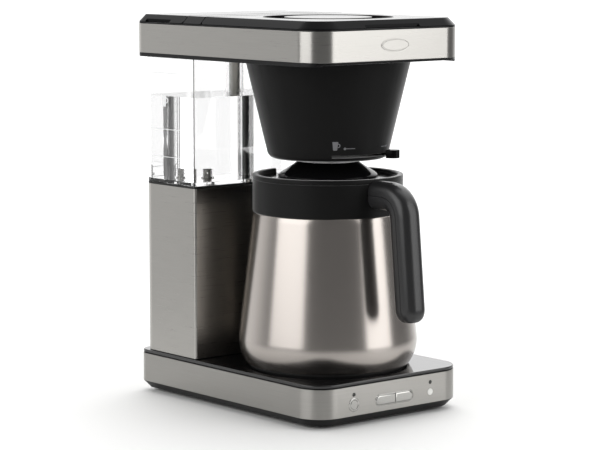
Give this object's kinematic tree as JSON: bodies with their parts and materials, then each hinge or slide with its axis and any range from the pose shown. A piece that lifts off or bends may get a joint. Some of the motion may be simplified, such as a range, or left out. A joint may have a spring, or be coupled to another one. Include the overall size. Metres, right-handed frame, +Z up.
{
  "type": "drip coffee maker",
  "caption": "Drip coffee maker with clear rear water tank, long steel-banded head, cone brew basket and a lidded steel thermal carafe on a low base.",
  "frame": {"origin": "middle of the footprint that the body and the carafe's handle take, on the counter plane", "axes": "+Z up, -Y out of the front panel and along the carafe's handle, +X to the right when facing the front"},
  "size_m": [0.175, 0.2942, 0.35],
  "materials": {
    "rubber_foot": "matt rubber",
    "black_abs": "satin moulded plastic",
    "brushed_steel": "brushed along its length",
    "carafe_steel": "turned, fine grain around the body",
    "liner_steel": "satin",
    "boiler_steel": "satin",
    "badge_steel": "satin",
    "gloss_black": "glossy moulded plastic",
    "matte_black": "fine matt texture",
    "handle_black": "satin soft touch",
    "chrome": "bright plated",
    "zinc_steel": "zinc plated",
    "clear_copolyester": "clear moulded plastic",
    "white_lens": "milky lens",
    "dark_lens": "smoked lens",
    "rubber_seal": "silicone seal",
    "silicone": "food-grade silicone",
    "white_nylon": "natural nylon",
    "circuit_board": "solder mask",
    "brass": "plain"
  },
  "bodies": {
    "machine": {"feet": "rubber_foot", "base_tray": "black_abs", "base_band": "brushed_steel", "base_plate": "gloss_black", "tray_screws": "zinc_steel", "cord_grommet": "rubber_foot", "control_board": "circuit_board", "panel_board": "circuit_board", "clean_light": "white_lens", "led_lenses": "dark_lens", "column_frame": "black_abs", "column_shell": "brushed_steel", "tank_seat": "black_abs", "tank_gasket": "rubber_seal", "water_tank": "clear_copolyester", "tank_strainer": "white_nylon", "check_valve": "white_nylon", "inlet_hose": "silicone", "boiler": "boiler_steel", "boiler_clamps": "zinc_steel", "thermostat": "brass", "outlet_hose": "silicone", "riser_pipe": "silicone", "head_frame": "black_abs", "head_band": "brushed_steel", "head_deck": "black_abs", "head_bridge": "gloss_black", "head_badge": "badge_steel", "feed_pipe": "silicone", "spray_chamber": "black_abs", "spray_plate": "boiler_steel"},
    "power_button": {"power_button": "chrome"},
    "brew_button_left": {"brew_button_left": "chrome"},
    "brew_button_right": {"brew_button_right": "chrome"},
    "tank_lid": {"tank_lid": "gloss_black", "tank_lid_pins": "zinc_steel"},
    "front_lid": {"front_lid": "gloss_black", "front_lid_cap": "gloss_black", "front_lid_pins": "zinc_steel"},
    "basket": {"brew_basket": "matte_black"},
    "selector": {"selector_lever": "gloss_black", "basket_valve": "rubber_seal"},
    "carafe": {"carafe_shell": "carafe_steel", "carafe_liner": "liner_steel", "carafe_base": "rubber_foot", "carafe_collar": "matte_black", "carafe_handle": "handle_black", "handle_screws": "zinc_steel"},
    "carafe_lid": {"carafe_lid": "gloss_black", "lid_gasket": "rubber_seal", "lid_tube": "matte_black"}
  },
  "joints": [
    {"name": "tank_lid_hinge", "type": "hinge", "parent": "machine", "child": "tank_lid", "pos_m": [0, 0.07625, 0.3466], "axis": [1, 0, 0], "range_deg": [0, 90]},
    {"name": "front_lid_hinge", "type": "hinge", "parent": "machine", "child": "front_lid", "pos_m": [0, 0.04355, 0.3466], "axis": [-1, 0, 0], "range_deg": [0, 90]},
    {"name": "basket_slide", "type": "slide", "parent": "machine", "child": "basket", "axis": [0, -1, 0], "range_m": [0, 0.17]},
    {"name": "selector_turn", "type": "hinge", "parent": "basket", "child": "selector", "pos_m": [0, -0.02535, 0.2302], "axis": [0, 0, 1], "range_deg": [-60, 0]},
    {"name": "carafe_slide", "type": "slide", "parent": "machine", "child": "carafe", "axis": [0, -1, 0], "range_m": [0, 0.2]},
    {"name": "carafe_lid_twist", "type": "hinge", "parent": "carafe", "child": "carafe_lid", "pos_m": [0, -0.02535, 0.2108], "axis": [0, 0, 1], "range_deg": [0, 60]},
    {"name": "power_button_press", "type": "slide", "parent": "machine", "child": "power_button", "axis": [0, 1, 0], "range_m": [0, 0.0012], "stiffness_N_per_m": 600, "springref_m": -0.0008},
    {"name": "brew_button_left_press", "type": "slide", "parent": "machine", "child": "brew_button_left", "axis": [0, 1, 0], "range_m": [0, 0.0012], "stiffness_N_per_m": 600, "springref_m": -0.0008},
    {"name": "brew_button_right_press", "type": "slide", "parent": "machine", "child": "brew_button_right", "axis": [0, 1, 0], "range_m": [0, 0.0012], "stiffness_N_per_m": 600, "springref_m": -0.0008}
  ]
}
